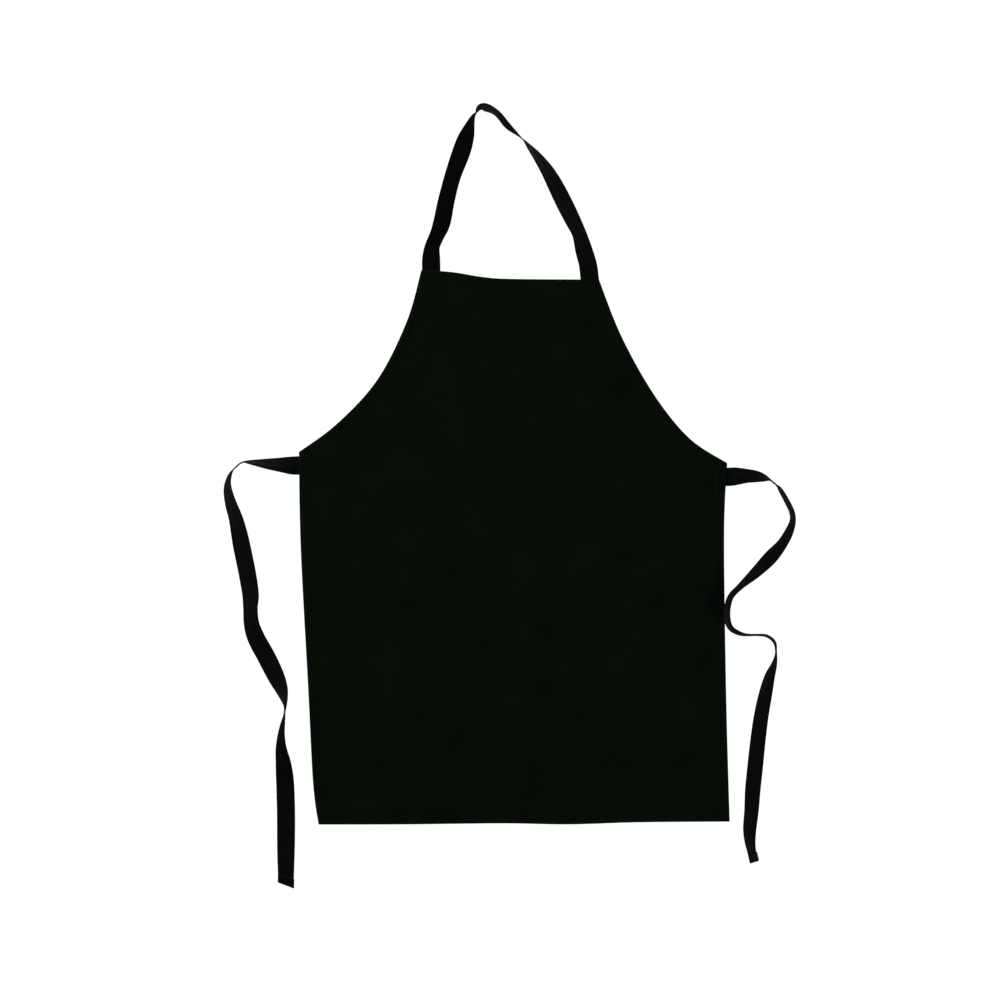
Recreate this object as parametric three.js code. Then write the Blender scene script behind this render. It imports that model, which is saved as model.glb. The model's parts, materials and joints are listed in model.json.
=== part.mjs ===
// A bib apron laid out flat, face up: one cloth panel with turned hems, a tape neck loop sewn to
// the bib's corners and a tape waist tie sewn to each side.
//
// Millimetres. +Z points up from the surface that the apron lies on, and +Y runs from the skirt to
// the bib. The origin is the middle of the panel's box, on that surface.
//
// The panel is one cloth, cut here along the line between the waist corners, where the bib folds
// down. Each tie is one tape, cut where it leaves the panel and where it turns downward.

import * as THREE from "three";

// Panel
const PANEL_WIDTH = 592;
const PANEL_LENGTH = 762;
const BIB_LEFT = [-127.8, PANEL_LENGTH / 2];
const BIB_RIGHT = [116.4, 368];
const WAIST_LEFT = [-PANEL_WIDTH / 2, 131];
const WAIST_RIGHT = [292.6, 115.8];
const HEM_LEFT = [-269, -PANEL_LENGTH / 2];
const HEM_RIGHT = [PANEL_WIDTH / 2, -377];
const SKIRT_FOLD_TRIM = 0.8;
const BIB_FOLD_TRIM = 1.6;
const EDGE_STEP = 16;

// Turned hems, measured in from the panel's edge
const TOP_HEM = 30;
const BOTTOM_HEM = 25;
const SIDE_HEM = 12;
const ARMHOLE_HEM = 9;
const STITCH_FROM_HEM_EDGE = 1.5;
const STITCH_WIDTH = 1;

// How far a hem's solid stops from the panel's edge and from what lies at its ends
const HEM_TO_EDGE = 0.5;
const HEM_TO_CORNER = 3;
const HEM_TO_HEM = 1;
const HEM_TO_TAPE = 3;
const HEM_TO_WAIST = 16;

// Layers, from the surface up, with a gap between each two
const GAP = 0.3;
const HEM_THICKNESS = 1;
const CLOTH_THICKNESS = 0.8;
const THREAD_THICKNESS = 0.3;
const CLOTH_BOTTOM = HEM_THICKNESS + GAP;
const THREAD_BOTTOM = CLOTH_BOTTOM + CLOTH_THICKNESS + GAP;

// Tape of the neck loop and the ties
const TAPE_WIDTH = 25.4;
const TAPE_THICKNESS = 1;
const TAPE_EDGE_DROP = 0.1;
const TAPE_ACROSS = 4;
const TAPE_STEP = 7;
const SEWN_LENGTH = 38;
const HINGE_TRIM = 0.8;
const BOX_STITCH = { width: 20, length: 30, fromEnd: 4 };

// Where each tape leaves the panel: a point on its fold line, and the way it leaves, in degrees
// from +X.
const NECK_ROOT_LEFT = { at: [-114.2, 381.6], heading: 90 };
const NECK_ROOT_RIGHT = { at: [103.6, 369.4], heading: 97.5 };
const TIE_ROOT_LEFT = { at: [-297.6, 112.4], heading: 180 };
const TIE_ROOT_RIGHT = { at: [293.7, 96.8], heading: 0 };

// Routes of the tapes: x, y and roll. Roll is the tape's turn about its own run, in degrees: at 0
// and 180 it lies flat, at 90 it stands on its edge.
const NECK_ROUTE = [
  leave(NECK_ROOT_LEFT),
  [-114.3, 396, 12], [-112.6, 413, 36], [-106, 429, 36], [-99.6, 446, 20], [-93.4, 476, 25],
  [-84.5, 510, 28], [-72.5, 544, 12], [-66.5, 563, 30], [-61.2, 580, 61], [-54.5, 595, 86],
  [-42, 604.5, 119], [-25, 597, 112], [-8.5, 578, 111], [3.5, 567.5, 100], [11.5, 560.5, 91],
  [20, 550.6, 77], [32, 536.2, 62], [46, 516, 45], [57.5, 495, 32], [68, 474, 26], [79, 452, 31],
  [89, 431, 39], [96.2, 406, 20], [101.2, 388, 12],
  leave(NECK_ROOT_RIGHT),
];

const TIE_LEFT_SWING = { at: [-380.2, 111.3], heading: 221 };
const TIE_LEFT_LEAD = [
  leave(TIE_ROOT_LEFT),
  [-307, 112.3, 14], [-319, 113, 35], [-336, 114.2, 52], [-352, 115.6, 67], [-364, 116.8, 78],
  [-371.5, 116.6, 88],
  ...straight(TIE_LEFT_SWING, [-4, -HINGE_TRIM]),
];
const TIE_LEFT_RUN = [
  ...straight(TIE_LEFT_SWING, [HINGE_TRIM, 4]),
  [-389.3, 101, 79], [-392.8, 90, 70], [-393, 78, 60], [-388.8, 59, 48], [-382.5, 40, 38],
  [-378.2, 21, 26], [-374.5, 2, 17], [-366.6, -37, 17], [-362.2, -66, 24], [-362.3, -85, 36],
  [-361, -104, 31], [-354.4, -125, 14], [-341, -150, 4], [-329, -174, 16], [-318.5, -197, 47],
  [-314.4, -217, 79], [-314.8, -228, 90], [-317.4, -240, 101], [-319.9, -257, 111],
  [-320.2, -277, 126], [-317.3, -297, 146], [-315, -321, 164], [-313.7, -360, 170],
  [-313.6, -410, 164], [-313.7, -436, 154], [-313.7, -451, 150], [-314, -463.5, 150],
];

const TIE_RIGHT_SWING = { at: [356.1, 89.5], heading: 321 };
const TIE_RIGHT_LEAD = [
  leave(TIE_ROOT_RIGHT),
  [305, 97.8, 16], [316, 98.2, 36], [335, 97.2, 54], [345.5, 95, 72],
  ...straight(TIE_RIGHT_SWING, [-4, -HINGE_TRIM]),
];
const TIE_RIGHT_RUN = [
  ...straight(TIE_RIGHT_SWING, [HINGE_TRIM, 4]),
  [365, 79.4, 104], [374, 63.8, 108], [381.3, 48, 109], [382.3, 37, 111], [376.8, 20.3, 121],
  [369, 6.5, 126], [351.8, -14, 141], [332, -34, 129], [309, -55, 111], [297.4, -67.5, 111],
  [292.8, -82, 112], [292.4, -98, 112], [297.2, -110.8, 108], [310, -118.4, 102],
  [321, -120.2, 96], [334, -120.2, 95], [347, -121.7, 98], [357.2, -130.2, 100],
  [359.5, -144, 96], [357, -159, 109], [350.6, -177.6, 127], [344.4, -204, 140],
  [339.4, -230, 145], [335.6, -257, 148], [330, -309, 151], [327.4, -335, 149],
  [325.8, -361, 144], [323.2, -388, 138], [323.8, -405, 127], [326.2, -418.5, 120],
  [329, -431.5, 120],
];

const MATERIALS = {
  cloth: new THREE.MeshStandardMaterial({ color: 0x0b0f0c, roughness: 0.9, metalness: 0 }),
  hem: new THREE.MeshStandardMaterial({ color: 0x0d110e, roughness: 0.9, metalness: 0 }),
  tape: new THREE.MeshStandardMaterial({ color: 0x0a0d0a, roughness: 0.85, metalness: 0 }),
  thread: new THREE.MeshStandardMaterial({ color: 0x101410, roughness: 0.7, metalness: 0 }),
};

// The panel's edges, each drawn clockwise, so that the cloth lies on its right.
const EDGES = {
  top: edge(BIB_LEFT, [-85, 378.2], [-45, 371.8], [-5, 368.9], BIB_RIGHT),
  armholeRight: edge(BIB_RIGHT, [147.3, 290], [192, 210], [240.5, 150], WAIST_RIGHT),
  sideRight: edge(WAIST_RIGHT, [288.4, 15], [291.2, -200], HEM_RIGHT),
  bottom: edge(HEM_RIGHT, [170, -378], [75, -380.8], [-15, -379.4], [-150, -380.8], HEM_LEFT),
  sideLeft: edge(HEM_LEFT, [-276.5, -325], [-283.2, -196], [-293.6, 0], WAIST_LEFT),
  armholeLeft: edge(WAIST_LEFT, [-243.5, 170], [-188.5, 230], [-148, 310], BIB_LEFT),
};

function edge(...points) {
  return new THREE.SplineCurve(points.map(([x, y]) => new THREE.Vector2(x, y)));
}

// Points along an edge, moved in from it. The trims are the lengths left out at its two ends.
function alongEdge(curve, inward = 0, trimStart = 0, trimEnd = 0) {
  const length = curve.getLength();
  const kept = length - trimStart - trimEnd;
  const steps = Math.ceil(kept / EDGE_STEP);
  const points = [];
  for (let i = 0; i <= steps; i += 1) {
    const share = (trimStart + (kept * i) / steps) / length;
    const tangent = curve.getTangentAt(share);
    const towardCloth = new THREE.Vector2(tangent.y, -tangent.x);
    points.push(curve.getPointAt(share).addScaledVector(towardCloth, inward));
  }
  return points;
}

// A point at a distance from a root or hinge, along its heading and across to the left of it.
function pointAt({ at, heading }, distance, across = 0) {
  const angle = THREE.MathUtils.degToRad(heading);
  const x = at[0] + distance * Math.cos(angle) - across * Math.sin(angle);
  const y = at[1] + distance * Math.sin(angle) + across * Math.cos(angle);
  return new THREE.Vector2(x, y);
}

// A route's end at a root, just clear of the fold line, where the tape lies flat.
function leave(root) {
  const { x, y } = pointAt(root, HINGE_TRIM);
  return [x, y, 0];
}

// Route points in a straight line through a hinge, where the tape stands on its edge.
function straight(hinge, distances) {
  return distances.map((distance) => {
    const { x, y } = pointAt(hinge, distance);
    return [x, y, 90];
  });
}

// The middle line of a tape whose lower edge rests on the surface however far it has rolled. Its
// frames turn with the roll.
class TapeCurve extends THREE.Curve {
  constructor(route, firstPoint) {
    super();
    this.line = new THREE.CatmullRomCurve3(route.map((point) => new THREE.Vector3(...point)));
    this.start = firstPoint / (route.length - 1);
  }

  routeAt(t) {
    const { x, y, z } = this.line.getPoint(this.start + (1 - this.start) * t);
    return { x, y, roll: THREE.MathUtils.degToRad(z) };
  }

  getPoint(t) {
    const { x, y, roll } = this.routeAt(t);
    const edgeDrop = (TAPE_WIDTH / 2) * Math.abs(Math.sin(roll));
    const faceDrop = (TAPE_THICKNESS / 2) * Math.abs(Math.cos(roll));
    return new THREE.Vector3(x, y, edgeDrop + faceDrop);
  }

  frameAt(t) {
    const tangent = this.getTangent(t);
    const { roll } = this.routeAt(t);
    const across = new THREE.Vector3(0, 0, 1).cross(tangent).normalize();
    const face = new THREE.Vector3().crossVectors(tangent, across);
    return {
      tangent,
      normal: across.applyAxisAngle(tangent, roll),
      binormal: face.applyAxisAngle(tangent, roll),
    };
  }

  computeFrenetFrames(steps) {
    const frames = { tangents: [], normals: [], binormals: [] };
    for (let i = 0; i <= steps; i += 1) {
      const { tangent, normal, binormal } = this.frameAt(this.getUtoTmapping(i / steps));
      frames.tangents.push(tangent);
      frames.normals.push(normal);
      frames.binormals.push(binormal);
    }
    return frames;
  }
}

// The tape's cross-section, a little thinner at its edges than in its middle.
function tapeSection(lift) {
  const lower = [];
  const upper = [];
  for (let i = 0; i <= TAPE_ACROSS; i += 1) {
    const side = (2 * i) / TAPE_ACROSS - 1;
    const half = TAPE_THICKNESS / 2 - TAPE_EDGE_DROP * side ** 2;
    lower.push(new THREE.Vector2((side * TAPE_WIDTH) / 2, lift - half));
    upper.push(new THREE.Vector2((side * TAPE_WIDTH) / 2, lift + half));
  }
  return new THREE.Shape([...lower, ...upper.reverse()]);
}

// A tape along a route. A second layer is lifted off the first one's upper or lower face.
function tape(route, { firstPoint = 0, lift = 0 } = {}) {
  const curve = new TapeCurve(route, firstPoint);
  const steps = Math.max(2, Math.ceil(curve.getLength() / TAPE_STEP));
  return new THREE.ExtrudeGeometry(tapeSection(lift), { steps, extrudePath: curve });
}

function slab(shape, bottom, thickness) {
  const geometry = new THREE.ExtrudeGeometry(shape, { depth: thickness, bevelEnabled: false });
  return geometry.translate(0, 0, bottom);
}

// A strip of even width that follows an edge.
function band(curve, near, far, trimStart, trimEnd) {
  const outer = alongEdge(curve, near, trimStart, trimEnd);
  const inner = alongEdge(curve, far, trimStart, trimEnd);
  return new THREE.Shape([...outer, ...inner.reverse()]);
}

function hem(curve, depth, trimStart, trimEnd) {
  return slab(band(curve, HEM_TO_EDGE, depth, trimStart, trimEnd), 0, HEM_THICKNESS);
}

function stitchRow(curve, hemDepth, trimStart, trimEnd) {
  const far = hemDepth - STITCH_FROM_HEM_EDGE;
  return slab(band(curve, far - STITCH_WIDTH, far, trimStart, trimEnd), THREAD_BOTTOM,
    THREAD_THICKNESS);
}

// The tape's end behind the panel.
function sewnEnd(root) {
  const half = TAPE_WIDTH / 2;
  const corners = [[-HINGE_TRIM, -half], [-HINGE_TRIM, half], [-SEWN_LENGTH, half],
    [-SEWN_LENGTH, -half]];
  const outline = new THREE.Shape(corners.map(([along, side]) => pointAt(root, along, side)));
  return slab(outline, 0, TAPE_THICKNESS);
}

// A box of stitches with a cross in it, through the panel and the tape's end: an outline with four
// triangles left open.
function boxStitch(root) {
  const { width, length, fromEnd } = BOX_STITCH;
  const middle = -fromEnd - length / 2;
  const place = ([along, side]) => pointAt(root, middle + along, side);
  const rectangle = (a, b) => [[-a, -b], [a, -b], [a, b], [-a, b]];
  const box = new THREE.Shape(rectangle(length / 2, width / 2).map(place));
  const a = length / 2 - STITCH_WIDTH;
  const b = width / 2 - STITCH_WIDTH;
  const fromCross = (STITCH_WIDTH / 2) * Math.hypot(a, b);
  const tipA = fromCross / b;
  const tipB = fromCross / a;
  const openings = [
    [[-a + 2 * tipA, -b], [a - 2 * tipA, -b], [0, -2 * tipB]],
    [[a, -b + 2 * tipB], [a, b - 2 * tipB], [2 * tipA, 0]],
    [[a - 2 * tipA, b], [-a + 2 * tipA, b], [0, 2 * tipB]],
    [[-a, b - 2 * tipB], [-a, -b + 2 * tipB], [-2 * tipA, 0]],
  ];
  box.holes = openings.map((triangle) => new THREE.Path(triangle.map(place)));
  return slab(box, THREAD_BOTTOM, THREAD_THICKNESS);
}

const apron = new THREE.Group();

function add(name, geometry, material) {
  const mesh = new THREE.Mesh(geometry, material.clone());
  mesh.name = name;
  apron.add(mesh);
}

// Skirt
const skirtOutline = new THREE.Shape([
  ...alongEdge(EDGES.sideRight, 0, SKIRT_FOLD_TRIM),
  ...alongEdge(EDGES.bottom).slice(1, -1),
  ...alongEdge(EDGES.sideLeft, 0, 0, SKIRT_FOLD_TRIM),
]);
const belowTie = WAIST_LEFT[1] - TIE_ROOT_LEFT.at[1] + TAPE_WIDTH / 2 + HEM_TO_TAPE;
const aboveBottomHem = BOTTOM_HEM + HEM_TO_HEM;
add("skirt_panel", slab(skirtOutline, CLOTH_BOTTOM, CLOTH_THICKNESS), MATERIALS.cloth);
add("side_hem_left", hem(EDGES.sideLeft, SIDE_HEM, aboveBottomHem, belowTie), MATERIALS.hem);
add("side_hem_right", hem(EDGES.sideRight, SIDE_HEM, belowTie, aboveBottomHem), MATERIALS.hem);
add("bottom_hem", hem(EDGES.bottom, BOTTOM_HEM, HEM_TO_CORNER, HEM_TO_CORNER), MATERIALS.hem);
add("side_hem_stitching_left", stitchRow(EDGES.sideLeft, SIDE_HEM, aboveBottomHem, belowTie),
  MATERIALS.thread);
add("side_hem_stitching_right", stitchRow(EDGES.sideRight, SIDE_HEM, belowTie, aboveBottomHem),
  MATERIALS.thread);
add("bottom_hem_stitching",
  stitchRow(EDGES.bottom, BOTTOM_HEM, HEM_TO_CORNER, HEM_TO_CORNER), MATERIALS.thread);

// Bib
const bibOutline = new THREE.Shape([
  ...alongEdge(EDGES.top),
  ...alongEdge(EDGES.armholeRight, 0, 0, BIB_FOLD_TRIM).slice(1),
  ...alongEdge(EDGES.armholeLeft, 0, BIB_FOLD_TRIM).slice(0, -1),
]);
const besideStrap = NECK_ROOT_LEFT.at[0] - BIB_LEFT[0] + TAPE_WIDTH / 2 + HEM_TO_TAPE;
const belowStrap = SEWN_LENGTH + HEM_TO_TAPE;
add("bib_panel", slab(bibOutline, CLOTH_BOTTOM, CLOTH_THICKNESS), MATERIALS.cloth);
add("top_hem", hem(EDGES.top, TOP_HEM, besideStrap, besideStrap), MATERIALS.hem);
add("top_hem_stitching", stitchRow(EDGES.top, TOP_HEM, besideStrap, besideStrap),
  MATERIALS.thread);
add("armhole_hem_left", hem(EDGES.armholeLeft, ARMHOLE_HEM, HEM_TO_WAIST, belowStrap),
  MATERIALS.hem);
add("armhole_hem_right", hem(EDGES.armholeRight, ARMHOLE_HEM, belowStrap, HEM_TO_WAIST),
  MATERIALS.hem);
add("armhole_stitching_left", stitchRow(EDGES.armholeLeft, ARMHOLE_HEM, HEM_TO_WAIST, belowStrap),
  MATERIALS.thread);
add("armhole_stitching_right", stitchRow(EDGES.armholeRight, ARMHOLE_HEM, belowStrap, HEM_TO_WAIST),
  MATERIALS.thread);

// Sewn ends of the tapes, each with its box of stitches
const ROOTS = {
  neck_strap_left: NECK_ROOT_LEFT,
  neck_strap_right: NECK_ROOT_RIGHT,
  waist_tie_left: TIE_ROOT_LEFT,
  waist_tie_right: TIE_ROOT_RIGHT,
};
for (const [name, root] of Object.entries(ROOTS)) {
  add(`${name}_sewn_end`, sewnEnd(root), MATERIALS.tape);
  add(`${name}_box_stitch`, boxStitch(root), MATERIALS.thread);
}

// Neck loop and ties
add("neck_strap", tape(NECK_ROUTE), MATERIALS.tape);
const TIES = {
  left: { lead: TIE_LEFT_LEAD, run: TIE_LEFT_RUN, endHemSide: -1 },
  right: { lead: TIE_RIGHT_LEAD, run: TIE_RIGHT_RUN, endHemSide: -1 },
};
for (const [side, { lead, run, endHemSide }] of Object.entries(TIES)) {
  add(`waist_tie_${side}_lead`, tape(lead), MATERIALS.tape);
  add(`waist_tie_${side}_run`, tape(run), MATERIALS.tape);
  const endHem = { firstPoint: run.length - 2, lift: endHemSide * (TAPE_THICKNESS + GAP) };
  add(`waist_tie_${side}_end_hem`, tape(run, endHem), MATERIALS.tape);
}

export default apron;
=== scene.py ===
# A black bib apron laid out flat, face up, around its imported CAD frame. Metres, +Z up, in the
# CAD's frame: the origin is the middle of the panel's box, on the surface that the apron lies on.

import json
import math

import bmesh
import bpy
import numpy as np
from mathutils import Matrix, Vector, noise


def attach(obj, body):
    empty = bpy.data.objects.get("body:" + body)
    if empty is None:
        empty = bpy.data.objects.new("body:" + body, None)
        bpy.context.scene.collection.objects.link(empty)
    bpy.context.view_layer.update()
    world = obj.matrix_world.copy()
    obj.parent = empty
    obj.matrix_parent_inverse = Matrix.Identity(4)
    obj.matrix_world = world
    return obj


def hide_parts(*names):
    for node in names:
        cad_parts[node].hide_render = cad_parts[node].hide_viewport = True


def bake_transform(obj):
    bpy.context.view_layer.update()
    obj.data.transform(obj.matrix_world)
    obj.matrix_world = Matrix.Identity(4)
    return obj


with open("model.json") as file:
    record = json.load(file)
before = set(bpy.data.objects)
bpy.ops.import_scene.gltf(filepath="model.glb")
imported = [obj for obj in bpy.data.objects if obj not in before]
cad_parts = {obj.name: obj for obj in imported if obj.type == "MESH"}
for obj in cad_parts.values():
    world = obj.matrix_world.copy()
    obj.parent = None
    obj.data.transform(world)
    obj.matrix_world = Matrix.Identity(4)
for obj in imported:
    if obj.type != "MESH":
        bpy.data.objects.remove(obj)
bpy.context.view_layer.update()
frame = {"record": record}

MM = 0.001


def hinge_at(name):
    """Where a hinge of the frame stands, seen from above."""
    joint = next(each for each in frame["record"]["behaviour"]["joints"] if each["name"] == name)
    return tuple(joint["pos_m"][:2])


# Panel: its corners, and its finished width and length
BIB_LEFT = (-0.1278, 0.381)
BIB_RIGHT = (0.1164, 0.368)
WAIST_LEFT = (-0.296, 0.131)
WAIST_RIGHT = (0.2926, 0.1158)
HEM_LEFT = (-0.269, -0.381)
HEM_RIGHT = (0.296, -0.377)

# Cloth and its turned hems: three layers, of which the front one folds round the edge
CLOTH = 0.5 * MM
TOP_HEM = 30 * MM
BOTTOM_HEM = 25 * MM
SIDE_HEM = 12 * MM
ARMHOLE_HEM = 9 * MM
FOLD_RADIUS = CLOTH
SEAM_FROM_HEM_EDGE = 2 * MM

# How far the front steps down beside a hem's inner edge, and beside a sewn tape
HEM_STEP = (-0.5 * MM, 1.8 * MM)
TAPE_SLOPE = 5 * MM
# Two hems stop this far short of the line where they would meet at a corner, and reach in at
# least so far
MITRE_GAP = 0.4 * MM
LEAST_HEM = 0.9 * MM

# Grid of the panel: fine along its edges and its fold line, coarse between
FINE = 1.6 * MM
COARSE = 4.6 * MM
FINE_BAND = 16 * MM
EASED_ROWS = 10
# Points of a mesh that are closer than this are one
WELD = 0.001 * MM

# Tape of the neck loop and the ties, sewn under the panel over this length
TAPE_WIDTH = 25.4 * MM
TAPE_THICKNESS = 1 * MM
SEWN_LENGTH = 38 * MM
# The CAD's tapes stop this far short of a hinge
HINGE_TRIM = 0.8 * MM
# The distance between a swept tape's rows, and its points from selvedge to selvedge
TAPE_STEP = 2 * MM
TAPE_SIDES = 13
# A free tape is cupped: by this height, grown over these lengths from its ends, in long waves
CUP = 1.3 * MM
CUP_FROM_ROOT = 22 * MM
CUP_FROM_END = 30 * MM
CUP_WAVE = 31 * MM

# Where each tape is parted: how far the neck loop reaches under the bib, and how far a tie's base
# reaches past the panel's edge
TUCK = 5 * MM
TIE_BASE = 14 * MM
# A tie's end is turned to its back round this radius, over this depth, and stitched this far
# inside both edges of the turned part. The left one was cut at a slant: how far it leads for each
# unit across
TURNED_SIDE = -1
TURN_RADIUS = 0.6 * TAPE_THICKNESS
END_HEM = 13 * MM
END_STITCH = 2 * MM
END_SLANTS = {"left": -0.33, "right": 0}

# Thread, and the box of stitches on each sewn end
THREAD_RADIUS = 0.22 * MM
STITCH_PROUD = 0.1 * MM
STITCH_PITCH = 3.2 * MM
STITCH_LENGTH = 2.7 * MM
BOX = {"width": 20 * MM, "length": 30 * MM, "from_end": 4 * MM}

# Where each tape leaves the panel: a point on its fold line, and its heading in degrees from +X
ROOTS = {
    "neck_left": ((-0.1142, 0.3816), 90),
    "neck_right": ((0.1036, 0.3694), 97.5),
    "tie_left": (hinge_at("tie_left_fold"), 180),
    "tie_right": (hinge_at("tie_right_fold"), 0),
}
# Where each tie swings, and its heading there
SWINGS = {
    "left": (hinge_at("tie_left_swing"), 221),
    "right": (hinge_at("tie_right_swing"), 321),
}

# Ripples all over the cloth: height, size, seed
RIPPLES = [(0.5 * MM, 70 * MM, 3.1), (0.2 * MM, 24 * MM, 7.7)]
# Soft ridges in it: start, end, half width, height
RIDGES = [
    ((-0.262, 0.088), (-0.110, -0.030), 0.016, 0.0030),
    ((0.250, 0.070), (0.120, -0.015), 0.018, 0.0028),
    ((-0.100, 0.320), (-0.062, 0.160), 0.014, 0.0022),
    ((0.088, 0.310), (0.050, 0.170), 0.014, 0.0024),
    ((-0.150, -0.070), (-0.178, -0.330), 0.024, 0.0040),
    ((0.030, -0.040), (0.004, -0.340), 0.028, 0.0032),
    ((0.168, -0.060), (0.200, -0.330), 0.021, 0.0038),
    ((-0.060, 0.110), (0.080, 0.060), 0.020, 0.0020),
]
# Short creases where it was pressed, in the same terms
CREASES = [
    ((-0.128, 0.091), (-0.052, 0.088), 0.0035, 0.0012),
    ((0.070, 0.066), (0.168, 0.063), 0.0035, 0.0014),
    ((-0.190, -0.069), (-0.098, -0.067), 0.0035, 0.0013),
    ((0.008, -0.177), (0.120, -0.180), 0.0035, 0.0012),
    ((-0.240, -0.236), (-0.172, -0.233), 0.0040, 0.0010),
]
# It lies calm near its edges and round the sewn tapes: the ripples grow between these distances
EDGE_CALM = (4 * MM, 45 * MM)
SEWN_CALM = (24 * MM, 60 * MM)
# A row of stitches draws it down, over this half width, and puckers it: height, size, seed
SEAM_DIP = 0.16 * MM
SEAM_WIDTH = 1.3 * MM
PUCKER = (0.22 * MM, 6 * MM, 11.3)

# How far the wear reaches from the panel's edges, and from the ridge over a hem's inner edge
EDGE_WEAR = 1.5 * MM
RIDGE_WEAR = 1.6 * MM

# Weaves: the pitch of the cloth's twill, of the tape's herringbone and of the thread's plies
TWILL_PITCH = 1.3 * MM
HERRINGBONE_PITCH = 1.1 * MM
HERRINGBONE_STRIPE = TAPE_WIDTH / 4
PLY_PITCH = 0.5 * MM

# The floor, under the threads on the cloth's back
FLOOR_HEIGHT = -0.4 * MM
FLOOR_HALF = 40

# Camera: straight above a point, seeing a square of this width
CAMERA_OVER = (-0.01965, 0.065)
FIELD = 1.3742
LENS = 300
SENSOR = 36


def direction(heading):
    angle = math.radians(heading)
    return np.array([math.cos(angle), math.sin(angle)])


def left_of(ahead):
    return np.array([-ahead[1], ahead[0]])


def beside(root, along, across=0.0):
    """A point at a distance from a root along its heading, and across to the left of it."""
    at, heading = root
    ahead = direction(heading)
    sideways = np.multiply.outer(across, left_of(ahead))
    return np.array(at) + np.multiply.outer(along, ahead) + sideways


def smoothstep(low, high, value):
    t = np.clip((value - low) / (high - low), 0, 1)
    return t * t * (3 - 2 * t)


# Routes of the tapes: x, y and roll. Roll is the tape's turn about its own run, in degrees: at 0
# and 180 it lies flat, at 90 it stands on its edge.
def leave(root):
    x, y = beside(root, HINGE_TRIM)
    return (x, y, 0)


def straight(hinge, distances):
    return [(*beside(hinge, distance), 90) for distance in distances]


NECK_ROUTE = [
    leave(ROOTS["neck_left"]),
    (-0.1143, 0.3960, 12), (-0.1126, 0.4130, 36), (-0.1060, 0.4290, 36), (-0.0996, 0.4460, 20),
    (-0.0934, 0.4760, 25), (-0.0845, 0.5100, 28), (-0.0725, 0.5440, 12), (-0.0665, 0.5630, 30),
    (-0.0612, 0.5800, 61), (-0.0545, 0.5950, 86), (-0.0420, 0.6045, 119), (-0.0250, 0.5970, 112),
    (-0.0085, 0.5780, 111), (0.0035, 0.5675, 100), (0.0115, 0.5605, 91), (0.0200, 0.5506, 77),
    (0.0320, 0.5362, 62), (0.0460, 0.5160, 45), (0.0575, 0.4950, 32), (0.0680, 0.4740, 26),
    (0.0790, 0.4520, 31), (0.0890, 0.4310, 39), (0.0962, 0.4060, 20), (0.1012, 0.3880, 12),
    leave(ROOTS["neck_right"]),
]
TIE_LEFT_ROUTE = [
    leave(ROOTS["tie_left"]),
    (-0.3070, 0.1123, 14), (-0.3190, 0.1130, 35), (-0.3360, 0.1142, 52), (-0.3520, 0.1156, 67),
    (-0.3640, 0.1168, 78), (-0.3715, 0.1166, 88),
    *straight(SWINGS["left"], (-4 * MM, -HINGE_TRIM, HINGE_TRIM, 4 * MM)),
    (-0.3893, 0.1010, 79), (-0.3928, 0.0900, 70), (-0.3930, 0.0780, 60), (-0.3888, 0.0590, 48),
    (-0.3825, 0.0400, 38), (-0.3782, 0.0210, 26), (-0.3745, 0.0020, 17), (-0.3666, -0.0370, 17),
    (-0.3622, -0.0660, 24), (-0.3623, -0.0850, 36), (-0.3610, -0.1040, 31),
    (-0.3544, -0.1250, 14), (-0.3410, -0.1500, 4), (-0.3290, -0.1740, 16),
    (-0.3185, -0.1970, 47), (-0.3144, -0.2170, 79), (-0.3148, -0.2280, 90),
    (-0.3174, -0.2400, 101), (-0.3199, -0.2570, 111), (-0.3202, -0.2770, 126),
    (-0.3173, -0.2970, 146), (-0.3150, -0.3210, 164), (-0.3137, -0.3600, 170),
    (-0.3136, -0.4100, 164), (-0.3137, -0.4360, 154), (-0.3137, -0.4510, 150),
    (-0.3140, -0.4635, 150),
]
TIE_RIGHT_ROUTE = [
    leave(ROOTS["tie_right"]),
    (0.3050, 0.0978, 16), (0.3160, 0.0982, 36), (0.3350, 0.0972, 54), (0.3455, 0.0950, 72),
    *straight(SWINGS["right"], (-4 * MM, -HINGE_TRIM, HINGE_TRIM, 4 * MM)),
    (0.3650, 0.0794, 104), (0.3740, 0.0638, 108), (0.3813, 0.0480, 109), (0.3823, 0.0370, 111),
    (0.3768, 0.0203, 121), (0.3690, 0.0065, 126), (0.3518, -0.0140, 141),
    (0.3320, -0.0340, 129), (0.3090, -0.0550, 111), (0.2974, -0.0675, 111),
    (0.2928, -0.0820, 112), (0.2924, -0.0980, 112), (0.2972, -0.1108, 108),
    (0.3100, -0.1184, 102), (0.3210, -0.1202, 96),
    (0.3340, -0.1202, 95), (0.3470, -0.1217, 98), (0.3572, -0.1302, 100),
    (0.3595, -0.1440, 96), (0.3570, -0.1590, 109), (0.3506, -0.1776, 127),
    (0.3444, -0.2040, 140), (0.3394, -0.2300, 145), (0.3356, -0.2570, 148),
    (0.3300, -0.3090, 151), (0.3274, -0.3350, 149), (0.3258, -0.3610, 144),
    (0.3232, -0.3880, 138), (0.3238, -0.4050, 127), (0.3262, -0.4185, 120),
    (0.3290, -0.4315, 120),
]


# Curves

def lengths_along(points):
    steps = np.linalg.norm(np.diff(points, axis=0), axis=1)
    return np.concatenate([[0], np.cumsum(steps)])


def at_lengths(points, along, wanted):
    """Rows of points at the wanted distances along them."""
    columns = [np.interp(wanted, along, points[:, k]) for k in range(points.shape[1])]
    return np.stack(columns, axis=1)


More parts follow.
